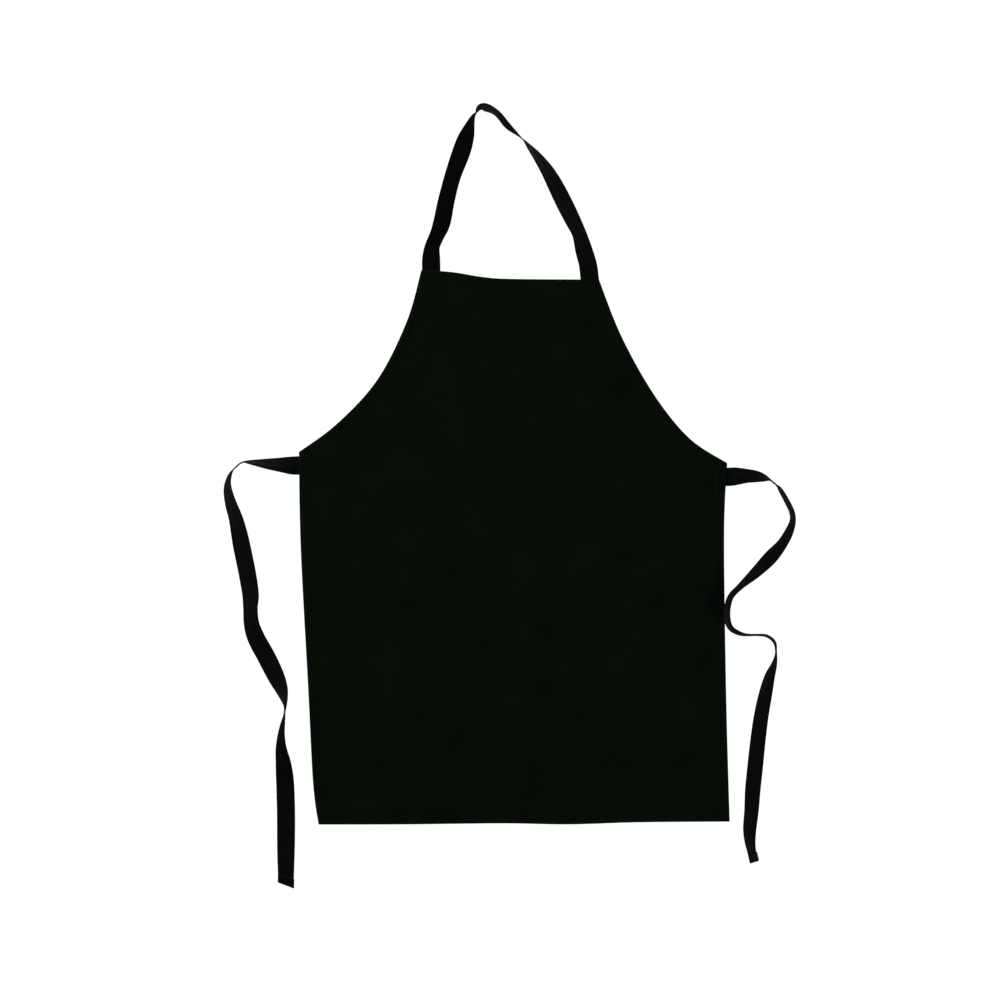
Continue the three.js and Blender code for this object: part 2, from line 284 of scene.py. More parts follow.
def spline(points, knots, samples=24):
    """A Catmull-Rom curve through points[1:-1], with a knot distance for each step."""
    t = np.linspace(0, 1, samples, endpoint=False)[:, None]
    found = []
    for i in range(1, len(points) - 2):
        a, b, c, d = points[i - 1:i + 3]
        before, here, after = knots[i - 1:i + 2]
        into = here * ((b - a) / before - (c - a) / (before + here) + (c - b) / here)
        out = here * ((c - b) / here - (d - b) / (here + after) + (d - c) / after)
        found.append(
            b + into * t
            + (3 * (c - b) - 2 * into - out) * t ** 2
            + (2 * (b - c) + into + out) * t ** 3
        )
    found.append(points[-2:-1])
    return np.vstack(found)


class Edge:
    """An edge of the panel, drawn clockwise, so that the cloth lies on its right. Its first and
    last points are doubled, to hold the curve's ends."""

    def __init__(self, hem, *points):
        corners = np.array(points, float)
        padded = np.vstack([corners[:1], corners, corners[-1:]])
        self.hem = hem
        self.line = spline(padded, np.ones(len(padded) - 1))
        self.along = lengths_along(self.line)
        self.length = self.along[-1]

    def at(self, share):
        return at_lengths(self.line, self.along, np.asarray(share) * self.length)

    def outward(self, share):
        reach = 0.5 * MM / self.length
        ahead = self.at(np.clip(share + reach, 0, 1)) - self.at(np.clip(share - reach, 0, 1))
        ahead /= np.linalg.norm(ahead, axis=1)[:, None]
        return np.stack([-ahead[:, 1], ahead[:, 0]], axis=1)

    def distance(self, xy):
        start = self.line[:-1]
        step = np.diff(self.line, axis=0)
        found = np.empty(len(xy))
        # some thousand points at once, to spare memory
        for block in np.array_split(np.arange(len(xy)), max(1, len(xy) // 4000)):
            offset = xy[block, None] - start
            t = np.clip((offset * step).sum(2) / (step * step).sum(1), 0, 1)
            away = offset - t[..., None] * step
            found[block] = np.linalg.norm(away, axis=2).min(1)
        return found


EDGES = {
    "top": Edge(TOP_HEM, BIB_LEFT, (-0.085, 0.3782), (-0.045, 0.3718), (-0.005, 0.3689), BIB_RIGHT),
    "armhole_right": Edge(ARMHOLE_HEM, BIB_RIGHT, (0.1473, 0.290), (0.192, 0.210),
                          (0.2405, 0.150), WAIST_RIGHT),
    "side_right": Edge(SIDE_HEM, WAIST_RIGHT, (0.2884, 0.015), (0.2912, -0.200), HEM_RIGHT),
    "bottom": Edge(BOTTOM_HEM, HEM_RIGHT, (0.170, -0.378), (0.075, -0.3808), (-0.015, -0.3794),
                   (-0.150, -0.3808), HEM_LEFT),
    "side_left": Edge(SIDE_HEM, HEM_LEFT, (-0.2765, -0.325), (-0.2832, -0.196), (-0.2936, 0.0),
                      WAIST_LEFT),
    "armhole_left": Edge(ARMHOLE_HEM, WAIST_LEFT, (-0.2435, 0.170), (-0.1885, 0.230),
                         (-0.148, 0.310), BIB_LEFT),
}


# Heights of the cloth

def noise_at(xy, size, seed):
    """Smooth noise from -1 to 1, with features of about that size."""
    return np.array([noise.noise(Vector((x / size, y / size, seed))) for x, y in xy])


def distance_to_segment(xy, start, end):
    step = np.subtract(end, start)
    t = np.clip((xy - start) @ step / (step @ step), 0, 1)
    return np.linalg.norm(xy - start - t[:, None] * step, axis=1)


def over_tapes(xy):
    """How far the tapes' sewn ends raise the cloth."""
    raised = np.zeros(len(xy))
    for at, heading in ROOTS.values():
        ahead = direction(heading)
        offset = xy - np.array(at)
        along = offset @ ahead
        across = np.abs(offset @ left_of(ahead))
        outside = np.hypot(np.maximum(-SEWN_LENGTH - along, 0),
                           np.maximum(across - TAPE_WIDTH / 2, 0))
        raised = np.maximum(raised, TAPE_THICKNESS * (1 - smoothstep(0, TAPE_SLOPE, outside)))
    return raised


def from_edges(xy):
    return np.stack([edge.distance(xy) for edge in EDGES.values()], axis=1)


def lift(xy, edge_distance):
    """The height of the cloth's underside above the surface that it lies on."""
    ripple = sum(height * (1 + noise_at(xy, size, seed)) for height, size, seed in RIPPLES)
    for start, end, width, height in RIDGES + CREASES:
        ripple += height * np.exp(-(distance_to_segment(xy, start, end) / width) ** 2)
    calm = 0.15 + 0.85 * smoothstep(*EDGE_CALM, edge_distance.min(1))
    for root in ROOTS.values():
        middle = beside(root, -SEWN_LENGTH / 2)
        calm = calm * smoothstep(*SEWN_CALM, np.linalg.norm(xy - middle, axis=1))
    return over_tapes(xy) + ripple * calm


def front(xy, edge_distance):
    """The height of the middle of the front layer, which steps up over the hems."""
    hemmed = np.zeros(len(xy))
    seam = np.zeros(len(xy))
    for edge, away in zip(EDGES.values(), edge_distance.T):
        hemmed = np.maximum(hemmed, 1 - smoothstep(*HEM_STEP, away - edge.hem))
        off_seam = away - (edge.hem - SEAM_FROM_HEM_EDGE)
        seam = np.maximum(seam, np.exp(-(off_seam / SEAM_WIDTH) ** 2))
    height, size, seed = PUCKER
    drawn = height * noise_at(xy, size, seed) - SEAM_DIP
    return lift(xy, edge_distance) + CLOTH / 2 + 2 * CLOTH * hemmed + drawn * seam


# Meshes

def make_object(name, points, faces, material, weave, wear=None):
    """A mesh object with a weave attribute, the place of each point on the flat cloth, tape or
    thread, and a wear attribute from 0 to 1."""
    mesh = bpy.data.meshes.new(name)
    mesh.from_pydata(np.asarray(points).tolist(), [], faces)
    mesh.attributes.new("weave", "FLOAT_VECTOR", "POINT")
    mesh.attributes["weave"].data.foreach_set("vector", np.asarray(weave, np.float32).ravel())
    mesh.attributes.new("wear", "FLOAT", "POINT")
    worn = np.zeros(len(points)) if wear is None else wear
    mesh.attributes["wear"].data.foreach_set("value", np.asarray(worn, np.float32))
    shape = bmesh.new()
    shape.from_mesh(mesh)
    bmesh.ops.remove_doubles(shape, verts=shape.verts, dist=WELD)
    bmesh.ops.recalc_face_normals(shape, faces=shape.faces)
    for face in shape.faces:
        face.smooth = len(face.verts) == 4
    shape.to_mesh(mesh)
    shape.free()
    mesh.materials.append(material)
    obj = bpy.data.objects.new(name, mesh)
    bpy.context.scene.collection.objects.link(obj)
    return obj


def grid_faces(numbers):
    """The faces between the neighbouring points of a grid, given by their numbers."""
    corners = (numbers[:-1, :-1], numbers[:-1, 1:], numbers[1:, 1:], numbers[1:, :-1])
    return np.stack(corners, axis=-1).reshape(-1, 4).tolist()


def tube_faces(rings, sides, first=0):
    """The faces of a closed tube whose points come ring by ring."""
    faces = []
    for i in range(rings - 1):
        a = first + i * sides
        b = a + sides
        for j in range(sides):
            k = (j + 1) % sides
            faces.append((a + j, a + k, b + k, b + j))
    last = first + (rings - 1) * sides
    faces.append(tuple(first + j for j in range(sides)))
    faces.append(tuple(last + j for j in range(sides)))
    return faces


# Materials

def add_node(tree, kind, inputs=None, **settings):
    """A shader node, with each input set to a value or linked to another node's output."""
    made = tree.nodes.new("ShaderNode" + kind)
    for name, value in settings.items():
        setattr(made, name, value)
    for key, value in (inputs or {}).items():
        if isinstance(value, bpy.types.NodeSocket):
            tree.links.new(value, made.inputs[key])
        else:
            made.inputs[key].default_value = value
    return made


def math_node(tree, operation, *values):
    return add_node(tree, "Math", dict(enumerate(values)), operation=operation).outputs[0]


def mix_colours(tree, factor, a, b):
    made = add_node(tree, "Mix", {0: factor, 6: a, 7: b}, data_type="RGBA")
    return made.outputs[2]


def map_range(tree, value, low, high, to_low, to_high):
    inputs = {"Value": value, "From Min": low, "From Max": high,
              "To Min": to_low, "To Max": to_high}
    return add_node(tree, "MapRange", inputs).outputs[0]


def split(tree, vector):
    return add_node(tree, "SeparateXYZ", {0: vector}).outputs


def twill(tree, weave, pitch):
    """Diagonal ridges with that pitch along the cloth, crossed by finer yarns."""
    x, y, _ = split(tree, weave)
    turns = math_node(tree, "DIVIDE", math_node(tree, "ADD", x, y), pitch)
    wander = add_node(tree, "TexNoise", {"Vector": weave, "Scale": 220.0, "Detail": 2.0}).outputs[0]
    turns = math_node(tree, "MULTIPLY_ADD", wander, 1.6, turns)
    ridges = math_node(tree, "SINE", math_node(tree, "MULTIPLY", turns, 2 * math.pi))
    yarns = math_node(tree, "SINE", math_node(tree, "MULTIPLY", y, 4 * math.pi / pitch))
    return math_node(tree, "MULTIPLY_ADD", yarns, 0.35, ridges)


def herringbone(tree, weave, pitch, stripe):
    """Ridges that zigzag across a tape, with a turn at each stripe's edge."""
    x, y, _ = split(tree, weave)
    zigzag = math_node(tree, "PINGPONG", x, stripe)
    turns = math_node(tree, "DIVIDE", math_node(tree, "ADD", y, zigzag), pitch)
    ridges = math_node(tree, "SINE", math_node(tree, "MULTIPLY", turns, 2 * math.pi))
    yarns = math_node(tree, "SINE", math_node(tree, "MULTIPLY", x, 4 * math.pi / pitch))
    return math_node(tree, "MULTIPLY_ADD", yarns, 0.3, ridges)


def twist(tree, weave, pitch):
    """The slanting plies of a thread."""
    x, y, _ = split(tree, weave)
    turns = math_node(tree, "ADD", math_node(tree, "DIVIDE", x, pitch), y)
    return math_node(tree, "SINE", math_node(tree, "MULTIPLY", turns, 2 * math.pi))


def fabric(name, dark, light, worn, pattern, bump, roughness, sheen):
    """A fabric: its pattern in the surface, mottled colour with painted shade in the pattern's
    furrows, fine fuzz, lint and worn edges.
    """
    material = bpy.data.materials.new(name)
    material.use_nodes = True
    tree = material.node_tree
    shader = tree.nodes["Principled BSDF"]
    weave = add_node(tree, "Attribute", attribute_name="weave").outputs["Vector"]
    wear = add_node(tree, "Attribute", attribute_name="wear").outputs["Fac"]
    place = add_node(tree, "TexCoord").outputs["Object"]

    ridges = pattern(tree, weave)
    fuzz = add_node(tree, "TexNoise", {"Vector": weave, "Scale": 2600.0, "Detail": 3.0}).outputs[0]
    height = math_node(tree, "MULTIPLY_ADD", fuzz, 0.9, ridges)
    bumped = add_node(tree, "Bump", {"Strength": 0.55, "Distance": bump, "Height": height})

    mottle = add_node(tree, "TexNoise", {"Vector": place, "Scale": 16.0, "Detail": 5.0,
                                         "Roughness": 0.6}).outputs[0]
    faded = map_range(tree, mottle, 0.3, 0.7, 0.0, 1.0)
    colour = mix_colours(tree, faded, (*dark, 1), (*light, 1))
    # painted shade: in the pattern's furrows the colour darkens toward a third of the dark tone, as
    # if its hollows lay in shade
    painted_furrow_shade = map_range(tree, ridges, -1.3, 1.3, 0.45, 0.0)
    colour = mix_colours(tree, painted_furrow_shade, colour, (*(0.35 * c for c in dark), 1))
    specks = add_node(tree, "TexNoise", {"Vector": place, "Scale": 620.0, "Detail": 1.0}).outputs[0]
    lint = map_range(tree, specks, 0.74, 0.80, 0.0, 0.5)
    colour = mix_colours(tree, lint, colour, (*(2.6 * c for c in light), 1))
    rubbed = add_node(tree, "TexNoise", {"Vector": weave, "Scale": 160.0, "Detail": 4.0}).outputs[0]
    rubbed = math_node(tree, "MULTIPLY", wear, map_range(tree, rubbed, 0.35, 0.65, 0.1, 1.0))
    colour = mix_colours(tree, rubbed, colour, (*worn, 1))

    tree.links.new(colour, shader.inputs["Base Color"])
    tree.links.new(map_range(tree, mottle, 0.3, 0.7, roughness, roughness - 0.12),
                   shader.inputs["Roughness"])
    tree.links.new(bumped.outputs[0], shader.inputs["Normal"])
    shader.inputs["Specular IOR Level"].default_value = 0.05
    shader.inputs["Sheen Weight"].default_value = sheen
    shader.inputs["Sheen Roughness"].default_value = 0.45
    shader.inputs["Sheen Tint"].default_value = (0.30, 0.36, 0.31, 1)
    return material


CLOTH_LOOK = fabric(
    "black_twill", dark=(0.0054, 0.0119, 0.0059), light=(0.0086, 0.0177, 0.0094),
    worn=(0.024, 0.034, 0.025), pattern=lambda tree, weave: twill(tree, weave, TWILL_PITCH),
    bump=0.12 * MM, roughness=0.93, sheen=0.32)
TAPE_LOOK = fabric(
    "black_tape", dark=(0.0070, 0.0095, 0.0074), light=(0.0107, 0.0140, 0.0111),
    worn=(0.024, 0.030, 0.025),
    pattern=lambda tree, weave: herringbone(tree, weave, HERRINGBONE_PITCH, HERRINGBONE_STRIPE),
    bump=0.14 * MM, roughness=0.88, sheen=0.32)
THREAD_LOOK = fabric(
    "black_thread", dark=(0.0075, 0.0125, 0.0085), light=(0.012, 0.018, 0.013),
    worn=(0.018, 0.024, 0.019), pattern=lambda tree, weave: twist(tree, weave, PLY_PITCH),
    bump=0.05 * MM, roughness=0.62, sheen=0.05)


# Panel

def shares(length, low, high):
    """Where a grid's lines lie, as shares of a length: fine within low of its start and high of
    its end, coarse between."""
    start = np.arange(0, low - FINE / 2, FINE)
    middle = np.linspace(low, length - high, round((length - low - high) / COARSE))
    end = length - np.arange(0, high - FINE / 2, FINE)[::-1]
    return np.concatenate([start, middle, end]) / length


def patch(left, right, low, high, across, up):
    """The grid of points between four edges, given at the same shares on facing ones."""
    u = across[None, :, None]
    v = up[:, None, None]
    rows = (1 - u) * left[:, None] + u * right[:, None]
    columns = (1 - v) * low[None] + v * high[None]
    corners = ((1 - u) * (1 - v) * low[0] + u * (1 - v) * low[-1]
               + (1 - u) * v * high[0] + u * v * high[-1])
    return rows + columns - corners


def hem_profile(depth):
    """How far in from the edge and how far below the front layer a turned hem's points lie: round
    the fold, back along its depth, round its inner fold, and out again between the layers."""
    turn = np.radians([30, 60, 90, 120, 150, 180])
    fold = [(-FOLD_RADIUS * math.sin(a), FOLD_RADIUS * (1 - math.cos(a))) for a in turn]
    back = [(depth * share, 2 * CLOTH) for share in (0.08, 0.3, 0.55, 0.8, 1.0)]
    inner = [(depth + CLOTH / 2 * math.sin(a), 2 * CLOTH - CLOTH / 2 * (1 - math.cos(a)))
             for a in turn[1::2]]
    hidden = [(depth * share, CLOTH) for share in (0.7, 0.3)]
    return fold + back + inner + hidden


def mitre(edge, other):
    """How fast two hems may widen from the corner where edge ends and the other one starts."""
    arriving = edge.line[-1] - edge.line[-4]
    leaving = other.line[3] - other.line[0]
    turn = math.atan2(np.cross(arriving, leaving), arriving @ leaving)
    return math.tan((math.pi - abs(turn)) / 2)


def hem_depths(name, share):
    """How deep a hem is at each share of its edge: less toward the corners, where two hems meet."""
    names = list(EDGES)
    place = names.index(name)
    edge = EDGES[name]
    before = EDGES[names[place - 1]]
    after = EDGES[names[(place + 1) % len(names)]]
    from_start = mitre(before, edge) * share * edge.length
    from_end = mitre(edge, after) * (1 - share) * edge.length
    return np.clip(np.minimum(from_start, from_end) - MITRE_GAP, LEAST_HEM, edge.hem)


def panel_grid():
    """The front's points, the skirt and the bib as one grid, with the points' numbers, and for each
    edge in its own order the numbers of its points and their shares of its length."""
    across = shares(2 * WAIST_RIGHT[0], FINE_BAND, FINE_BAND)
    skirt_up = shares(EDGES["side_left"].length, BOTTOM_HEM + 4 * FINE, 6 * FINE)
    bib_up = shares(EDGES["armhole_left"].length, 6 * FINE, TOP_HEM + 5 * FINE)
    waist = (1 - across[:, None]) * np.array(WAIST_LEFT) + across[:, None] * np.array(WAIST_RIGHT)
    skirt = patch(EDGES["side_left"].at(skirt_up), EDGES["side_right"].at(1 - skirt_up),
                  EDGES["bottom"].at(1 - across), waist, across, skirt_up)
    bib = patch(EDGES["armhole_left"].at(bib_up), EDGES["armhole_right"].at(1 - bib_up),
                waist, EDGES["top"].at(across), across, bib_up)
    grid = np.concatenate([skirt, bib[1:]])
    numbers = np.arange(grid.shape[0] * grid.shape[1]).reshape(grid.shape[:2])
    waist_row = len(skirt) - 1
    borders = {
        "top": (numbers[-1], across),
        "armhole_right": (numbers[waist_row:, -1][::-1], (1 - bib_up)[::-1]),
        "side_right": (numbers[:waist_row + 1, -1][::-1], (1 - skirt_up)[::-1]),
        "bottom": (numbers[0][::-1], (1 - across)[::-1]),
        "side_left": (numbers[:waist_row + 1, 0], skirt_up),
        "armhole_left": (numbers[waist_row:, 0], bib_up),
    }
    return grid, numbers, borders


def ways_out(borders):
    """The way out of the cloth at each edge's points. Two edges share a mitred one at a corner."""
    outward = {name: EDGES[name].outward(share) for name, (_, share) in borders.items()}
    names = list(outward)
    for name, following in zip(names, names[1:] + names[:1]):
        both = outward[name][-1] + outward[following][0]
        mitred = 2 * both / (both @ both)
        outward[name][-1] = mitred
        outward[following][0] = mitred
    return outward


def draw_in(grid, borders, outward):
    """The grid, stopped short of each edge by what the fold adds, and eased back over some rows."""
    rows, columns = grid.shape[:2]
    moved = np.zeros((rows * columns, 2))
    for name, (border, _) in borders.items():
        moved[border] = -(FOLD_RADIUS + CLOTH / 2) * outward[name]
    moved = moved.reshape(rows, columns, 2)
    column_ease = np.clip(1 - np.arange(columns) / EASED_ROWS, 0, 1)[None, :, None]
    row_ease = np.clip(1 - np.arange(rows) / EASED_ROWS, 0, 1)[:, None, None]
    from_rows = moved[:1] * row_ease + moved[-1:] * row_ease[::-1]
    from_columns = moved[:, :1] * column_ease + moved[:, -1:] * column_ease[:, ::-1]
    # both of them hold the corners' moves
    twice = from_rows[:, :1] * column_ease + from_rows[:, -1:] * column_ease[:, ::-1]
    return grid + from_rows + from_columns - twice


def build_panel():
    """The panel as one cloth: a grid for the front, and a strip round each edge for its hem."""
    grid, numbers, borders = panel_grid()
    outward = ways_out(borders)
    flat = draw_in(grid, borders, outward).reshape(-1, 2)
    away = from_edges(flat)
    points = [np.column_stack([flat, front(flat, away)])]
    ridge = [np.exp(-((away[:, k] - edge.hem) / RIDGE_WEAR) ** 2)
             for k, edge in enumerate(EDGES.values())]
    wear = [np.clip(np.exp(-away.min(1) / EDGE_WEAR) + 0.15 * np.max(ridge, axis=0), 0, 1)]
    faces = grid_faces(numbers)
    count = numbers.size
    for name, (border, share) in borders.items():
        profile = np.array([hem_profile(depth) for depth in hem_depths(name, share)])
        at = flat[border][:, None] - profile[:, :, :1] * outward[name][:, None]
        below = at.reshape(-1, 2)
        height = lift(below, from_edges(below)) + 2.5 * CLOTH - profile[:, :, 1].ravel()
        points.append(np.column_stack([below, height]))
        wear.append(np.tile(np.clip(1.2 - profile[0, :, 1] / CLOTH, 0.15, 1), len(border)))
        strip = count + np.arange(len(below)).reshape(len(border), -1)
        faces += grid_faces(np.column_stack([border, strip]))
        count += len(below)
    points = np.vstack(points)
    weave = np.column_stack([points[:, :2], np.zeros(len(points))])
    panel = make_object("apron_panel", points, faces, CLOTH_LOOK, weave, np.concatenate(wear))
    thick = panel.modifiers.new("cloth", "SOLIDIFY")
    thick.thickness = CLOTH
    thick.offset = 0
    return panel


# Tapes

class Tape:
    """A tape's middle line with its width and face directions, from one sewn end to its other end.
    Distances along it are measured from its first root."""

    def __init__(self, route, root, far_root=None, slant=0):
        route = [(*beside(root, -SEWN_LENGTH), 0), (*beside(root, -SEWN_LENGTH / 2), 0), *route]
        if far_root:
            route += [(*beside(far_root, -SEWN_LENGTH / 2), 0), (*beside(far_root, -SEWN_LENGTH), 0)]
        # the CAD's curve runs through millimetres and degrees
        through = np.array(route, float) / (MM, MM, 1)
        through = np.vstack([2 * through[0] - through[1], through, 2 * through[-1] - through[-2]])
        knots = np.sqrt(np.linalg.norm(np.diff(through, axis=0), axis=1))
        line = spline(through, knots) * (MM, MM, 1)
        roll = np.radians(line[:, 2])
        line[:, 2] = (TAPE_WIDTH * np.abs(np.sin(roll)) + TAPE_THICKNESS * np.abs(np.cos(roll))) / 2
        length = lengths_along(line)
        # rows lie close together where a tie is parted, so that its pieces' shading agrees there
        parting = SEWN_LENGTH + TIE_BASE
        rows = np.linspace(0, length[-1], round(length[-1] / TAPE_STEP))
        rows = rows[np.abs(rows - parting) > TAPE_STEP / 2]
        rows = np.union1d(rows, parting + np.linspace(-0.4, 0.4, 9) * TAPE_STEP)
        self.along = rows - SEWN_LENGTH
        self.centres = at_lengths(line, length, rows)
        roll = np.interp(rows, length, roll)[:, None]
        ahead = np.gradient(self.centres, rows, axis=0)
        ahead /= np.linalg.norm(ahead, axis=1)[:, None]
        level = np.cross((0, 0, 1), ahead)
        level /= np.linalg.norm(level, axis=1)[:, None]
        upright = np.cross(ahead, level)
        self.ahead = ahead
        self.across = level * np.cos(roll) + upright * np.sin(roll)
        self.face = upright * np.cos(roll) - level * np.sin(roll)
        # a slanted end leads on one side and lags on the other
        slanted = smoothstep(-3 * END_HEM, -END_HEM, self.along - self.along[-1])
        self.across = self.across + slant * slanted[:, None] * ahead
        self.free = self.along[-1] - (SEWN_LENGTH if far_root else 0)
        self.bulge = cup(self.along, 0, self.free)

    def part(self, low, high):
        """The rows between two distances along the tape."""
        inside = slice(self.row(low), self.row(high) + 1)
        rows = (self.centres, self.across, self.face, self.along, self.bulge)
        return [each[inside] for each in rows]

    def row(self, distance):
        return int(np.abs(self.along - distance).argmin())

    def at(self, distance):
        row = self.row(distance)
        return self.centres[row], self.ahead[row], self.across[row], self.face[row]


def cup(along, low, high):
    """How far a tape's middle bulges out of its edges' plane: none where it is sewn or turned."""
    grown = smoothstep(low, low + CUP_FROM_ROOT, along)
    ended = smoothstep(high - CUP_FROM_END, high, along)
    return grown * (1 - ended) * CUP * (0.8 + 0.35 * np.sin(along / CUP_WAVE))


def ribbon(name, centres, across, face, along, bulge):
    """A tape swept along its middle line: flat faces, a little thinner between its selvedges."""
    side = np.sin(np.linspace(-math.pi / 2, math.pi / 2, TAPE_SIDES))
    half = TAPE_THICKNESS / 2 * np.sqrt(1 - side ** 24) * (1 - 0.1 * (1 - side ** 8))
    u = np.concatenate([side, side[-2:0:-1]]) * TAPE_WIDTH / 2
    v = np.concatenate([half, -half[-2:0:-1]])
    rise = np.multiply.outer(bulge, 1 - (2 * u / TAPE_WIDTH) ** 2)
    rings = (centres[:, None] + u[None, :, None] * across[:, None]
             + (v + rise)[:, :, None] * face[:, None])
    weave = np.stack([np.tile(u, (len(rings), 1)), np.tile(along[:, None], (1, len(u))),
                      np.tile(v, (len(rings), 1))], axis=2)
    wear = np.tile(smoothstep(0.9, 1.0, np.abs(u) / (TAPE_WIDTH / 2)), len(rings))
    return make_object(name, rings.reshape(-1, 3), tube_faces(len(rings), len(u)), TAPE_LOOK,
                       weave.reshape(-1, 3), wear)


def turned_end(name, tape, side):
    """The tape's end, folded round and laid back on its face on that side."""
    centres, across, face, along, bulge = tape.part(tape.along[-1] - END_HEM, tape.along[-1])
    tip, ahead, tip_across, tip_face = tape.at(tape.along[-1])
    lifted = centres + side * 2 * TURN_RADIUS * face
    turn = np.radians(np.arange(20, 181, 20))
    around = [tip + TURN_RADIUS * (math.sin(a) * ahead + side * (1 + math.cos(a)) * tip_face)
              for a in turn]
    facing = [math.cos(a) * tip_face + side * math.sin(a) * ahead for a in turn]
    return ribbon(name, np.vstack([lifted, around]),
                  np.vstack([across, np.tile(tip_across, (len(turn), 1))]),
                  np.vstack([face, facing]),
                  np.concatenate([along, along[-1] + 2 * TURN_RADIUS * turn]),
                  np.concatenate([bulge, np.zeros(len(turn))]))


# Stitches

def stitches(name, rows):
    """Lockstitches along rows. A row is its points, and the way out of the cloth at each."""
    sides = 6
    shape = np.array([-1, -0.55, 0, 0.55, 1])
    angle = np.linspace(0, 2 * math.pi, sides, endpoint=False)
    points, weave, faces = [], [], []
    for line, out in rows:
        along = lengths_along(line)
        middles = np.arange(STITCH_PITCH / 2, along[-1] - STITCH_LENGTH / 2, STITCH_PITCH)
        for middle in middles:
            where = middle + shape * STITCH_LENGTH / 2
            centre = at_lengths(line, along, where)
            normal = at_lengths(out, along, where)
            normal /= np.linalg.norm(normal, axis=1)[:, None]
            ahead = centre[-1] - centre[0]
            ahead /= np.linalg.norm(ahead)
            sideways = np.cross(normal, ahead)
            rise = THREAD_RADIUS * (0.9 - 1.5 * shape ** 2)
            centre = centre + rise[:, None] * normal
            radius = THREAD_RADIUS * (1 - 0.45 * shape ** 2)
            ring = (centre[:, None]
                    + (radius[:, None] * np.cos(angle))[..., None] * sideways[:, None]
                    + (radius[:, None] * np.sin(angle))[..., None] * normal[:, None])
            faces += tube_faces(len(shape), sides, len(points) * len(shape) * sides)
            points.append(ring.reshape(-1, 3))
            weave.append([(x, y / (2 * math.pi), 0) for x in where for y in angle])
    return make_object(name, np.vstack(points), faces, THREAD_LOOK, np.vstack(weave))


def both_faces(xy):
    """A row of stitches on the front of the cloth, and the same row under it."""
    away = from_edges(xy)
    up = np.tile([0.0, 0.0, 1.0], (len(xy), 1))
    top = np.column_stack([xy, front(xy, away) + CLOTH / 2 + STITCH_PROUD])
    under = np.column_stack([xy, lift(xy, away) - over_tapes(xy)])
    return [(top, up), (under, -up)]


def seam(name):
    """The row of stitches that holds a hem, on both faces."""
    edge = EDGES[name]
    ends = 1.1 * edge.hem / edge.length
    share = np.linspace(ends, 1 - ends, round(edge.length / (2 * MM)))
    inward = edge.hem - SEAM_FROM_HEM_EDGE
    return both_faces(edge.at(share) - inward * edge.outward(share))


def box_of_stitches(root):
    """The rectangle and cross of stitches through the cloth and a sewn end."""
    near = -BOX["from_end"]
    far = near - BOX["length"]
    half = BOX["width"] / 2
    corners = [(near, -half), (near, half), (far, half), (far, -half)]
    paths = [(corners[i], corners[(i + 1) % 4]) for i in range(4)]
    paths += [(corners[0], corners[2]), (corners[1], corners[3])]
    rows = []
    for start, end in paths:
        steps = np.linspace(start, end, 16)
        rows += both_faces(beside(root, steps[:, 0], steps[:, 1]))
    return rows


def across_tape(tape, from_end, side, out):
    """A row of stitches across a tape's turned end, at a height above its middle."""
    centre, _, across, face = tape.at(tape.along[-1] - from_end)
    offsets = np.linspace(-0.46, 0.46, 12)[:, None] * TAPE_WIDTH
    line = centre + offsets * across + side * out * face
    return line, np.tile(side * face, (len(line), 1))


# Camera, floor and lights

def make_camera():
    data = bpy.data.cameras.new("camera")
    data.lens = LENS
    data.sensor_width = SENSOR
    camera = bpy.data.objects.new("camera", data)
    camera.location = (*CAMERA_OVER, FIELD * LENS / SENSOR)
    bpy.context.scene.collection.objects.link(camera)
    bpy.context.scene.camera = camera


def strength(tree, seen, cast):
    """A glow that the camera sees at one strength, and that lights the apron at another."""
    path = add_node(tree, "LightPath").outputs["Is Camera Ray"]
    return add_node(tree, "Mix", {0: path, 2: cast, 3: seen}).outputs[0]


def make_floor():
    """A white floor, as of a picture whose background is cut out."""
    corners = [(x * FLOOR_HALF, y * FLOOR_HALF, 0) for x, y in ((-1, -1), (1, -1), (1, 1), (-1, 1))]
    mesh = bpy.data.meshes.new("floor")
    mesh.from_pydata(corners, [], [(0, 1, 2, 3)])
    floor = bpy.data.objects.new("floor", mesh)
    floor.location.z = FLOOR_HEIGHT
    bpy.context.scene.collection.objects.link(floor)
    material = bpy.data.materials.new("lit_table")
    material.use_nodes = True
    shader = material.node_tree.nodes["Principled BSDF"]
    shader.inputs["Base Color"].default_value = (0.4, 0.4, 0.4, 1)
    shader.inputs["Roughness"].default_value = 0.9
    shader.inputs["Emission Color"].default_value = (1, 1, 1, 1)
    material.node_tree.links.new(strength(material.node_tree, 1.0, 0.05),
                                 shader.inputs["Emission Strength"])
    mesh.materials.append(material)


def make_light(name, place, size, power):
    data = bpy.data.lights.new(name, "AREA")
    data.shape = "DISK"
    data.size = size
    data.energy = power
    light = bpy.data.objects.new(name, data)
    light.location = place
    light.rotation_euler = (-Vector(place)).to_track_quat("-Z", "Y").to_euler()
    bpy.context.scene.collection.objects.link(light)


make_camera()
make_floor()
make_light("key", (-2.2, 1.7, 1.25), 0.8, 27)
make_light("fill", (1.9, -1.3, 1.6), 1.6, 14)
world = bpy.data.worlds.new("studio")
world.use_nodes = True
around = world.node_tree.nodes["Background"]
around.inputs["Color"].default_value = (1, 1, 1, 1)
world.node_tree.links.new(strength(world.node_tree, 1.0, 0.05), around.inputs["Strength"])
bpy.context.scene.world = world
bpy.context.scene.view_settings.view_transform = "Standard"


# Cords


neck = Tape(NECK_ROUTE, ROOTS["neck_left"], ROOTS["neck_right"])
loop = neck.part(-TUCK, neck.free + TUCK)
strap = ribbon("neck_loop_tape", *loop)
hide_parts("neck_strap")
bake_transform(strap)
for name, low, high in (("left", -SEWN_LENGTH, -TUCK),
                        ("right", neck.free + TUCK, neck.free + SEWN_LENGTH)):
    sewn = ribbon(f"neck_loop_{name}_end", *neck.part(low, high))
    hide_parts(f"neck_strap_{name}_sewn_end")
    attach(sewn, "bib")

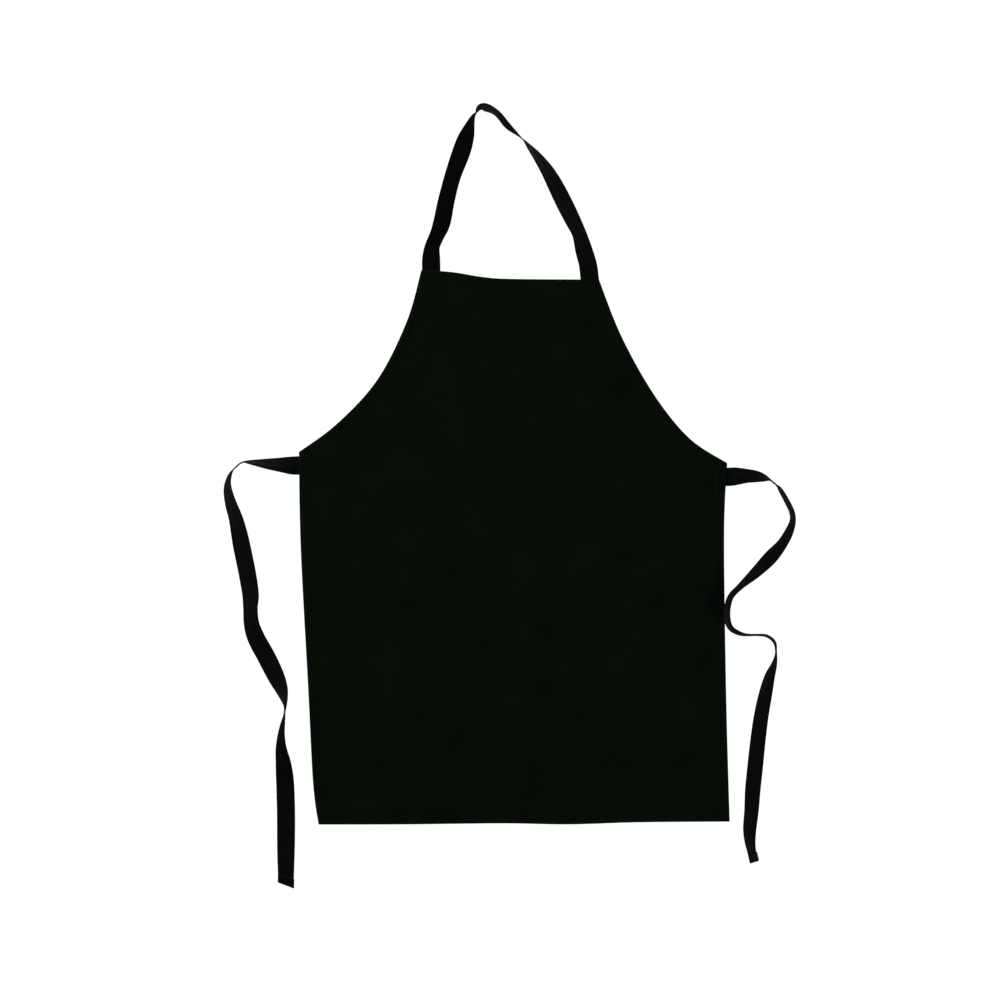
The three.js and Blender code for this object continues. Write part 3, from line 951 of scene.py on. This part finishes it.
for name, route in (("left", TIE_LEFT_ROUTE), ("right", TIE_RIGHT_ROUTE)):
    root = ROOTS[f"tie_{name}"]
    run = f"tie_{name}_run"
    tape = Tape(route, root, slant=END_SLANTS[name])
    base = ribbon(f"waist_tie_{name}_base", *tape.part(-SEWN_LENGTH, TIE_BASE))
    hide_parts(f"waist_tie_{name}_sewn_end")
    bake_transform(base)

    hem = turned_end(f"waist_tie_{name}_turned_end", tape, TURNED_SIDE)
    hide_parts(f"waist_tie_{name}_end_hem")
    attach(hem, run)
    rows = []
    for from_end in (END_STITCH, END_HEM - END_STITCH):
        rows.append(across_tape(tape, from_end, TURNED_SIDE, 2 * TURN_RADIUS + TAPE_THICKNESS / 2))
        rows.append(across_tape(tape, from_end, -TURNED_SIDE, TAPE_THICKNESS / 2))
    hem_thread = stitches(f"waist_tie_{name}_end_stitches", rows)
    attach(hem_thread, run)

    rest = tape.part(TIE_BASE, tape.along[-1])
    tie = ribbon(f"waist_tie_{name}_tape", *rest)
    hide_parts(f"waist_tie_{name}_lead", f"waist_tie_{name}_run")
    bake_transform(tie)

# Panel and its stitches
panel = build_panel()
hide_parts("skirt_panel", "bib_panel", "side_hem_left", "side_hem_right", "bottom_hem",
            "top_hem", "armhole_hem_left", "armhole_hem_right")
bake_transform(panel)

SEAMS = {
    "bottom": ("bottom_hem_stitching", "skirt"),
    "side_left": ("side_hem_stitching_left", "skirt"),
    "side_right": ("side_hem_stitching_right", "skirt"),
    "top": ("top_hem_stitching", "bib"),
    "armhole_left": ("armhole_stitching_left", "bib"),
    "armhole_right": ("armhole_stitching_right", "bib"),
}
for name, (node, body) in SEAMS.items():
    row = stitches(f"{name}_lockstitch", seam(name))
    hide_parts(node)
    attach(row, body)
BOXES = {"neck_left": "neck_strap_left", "neck_right": "neck_strap_right",
         "tie_left": "waist_tie_left", "tie_right": "waist_tie_right"}
for name, node in BOXES.items():
    box = stitches(f"{name}_boxed_cross", box_of_stitches(ROOTS[name]))
    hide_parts(f"{node}_box_stitch")
    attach(box, "bib" if name.startswith("neck") else "skirt")
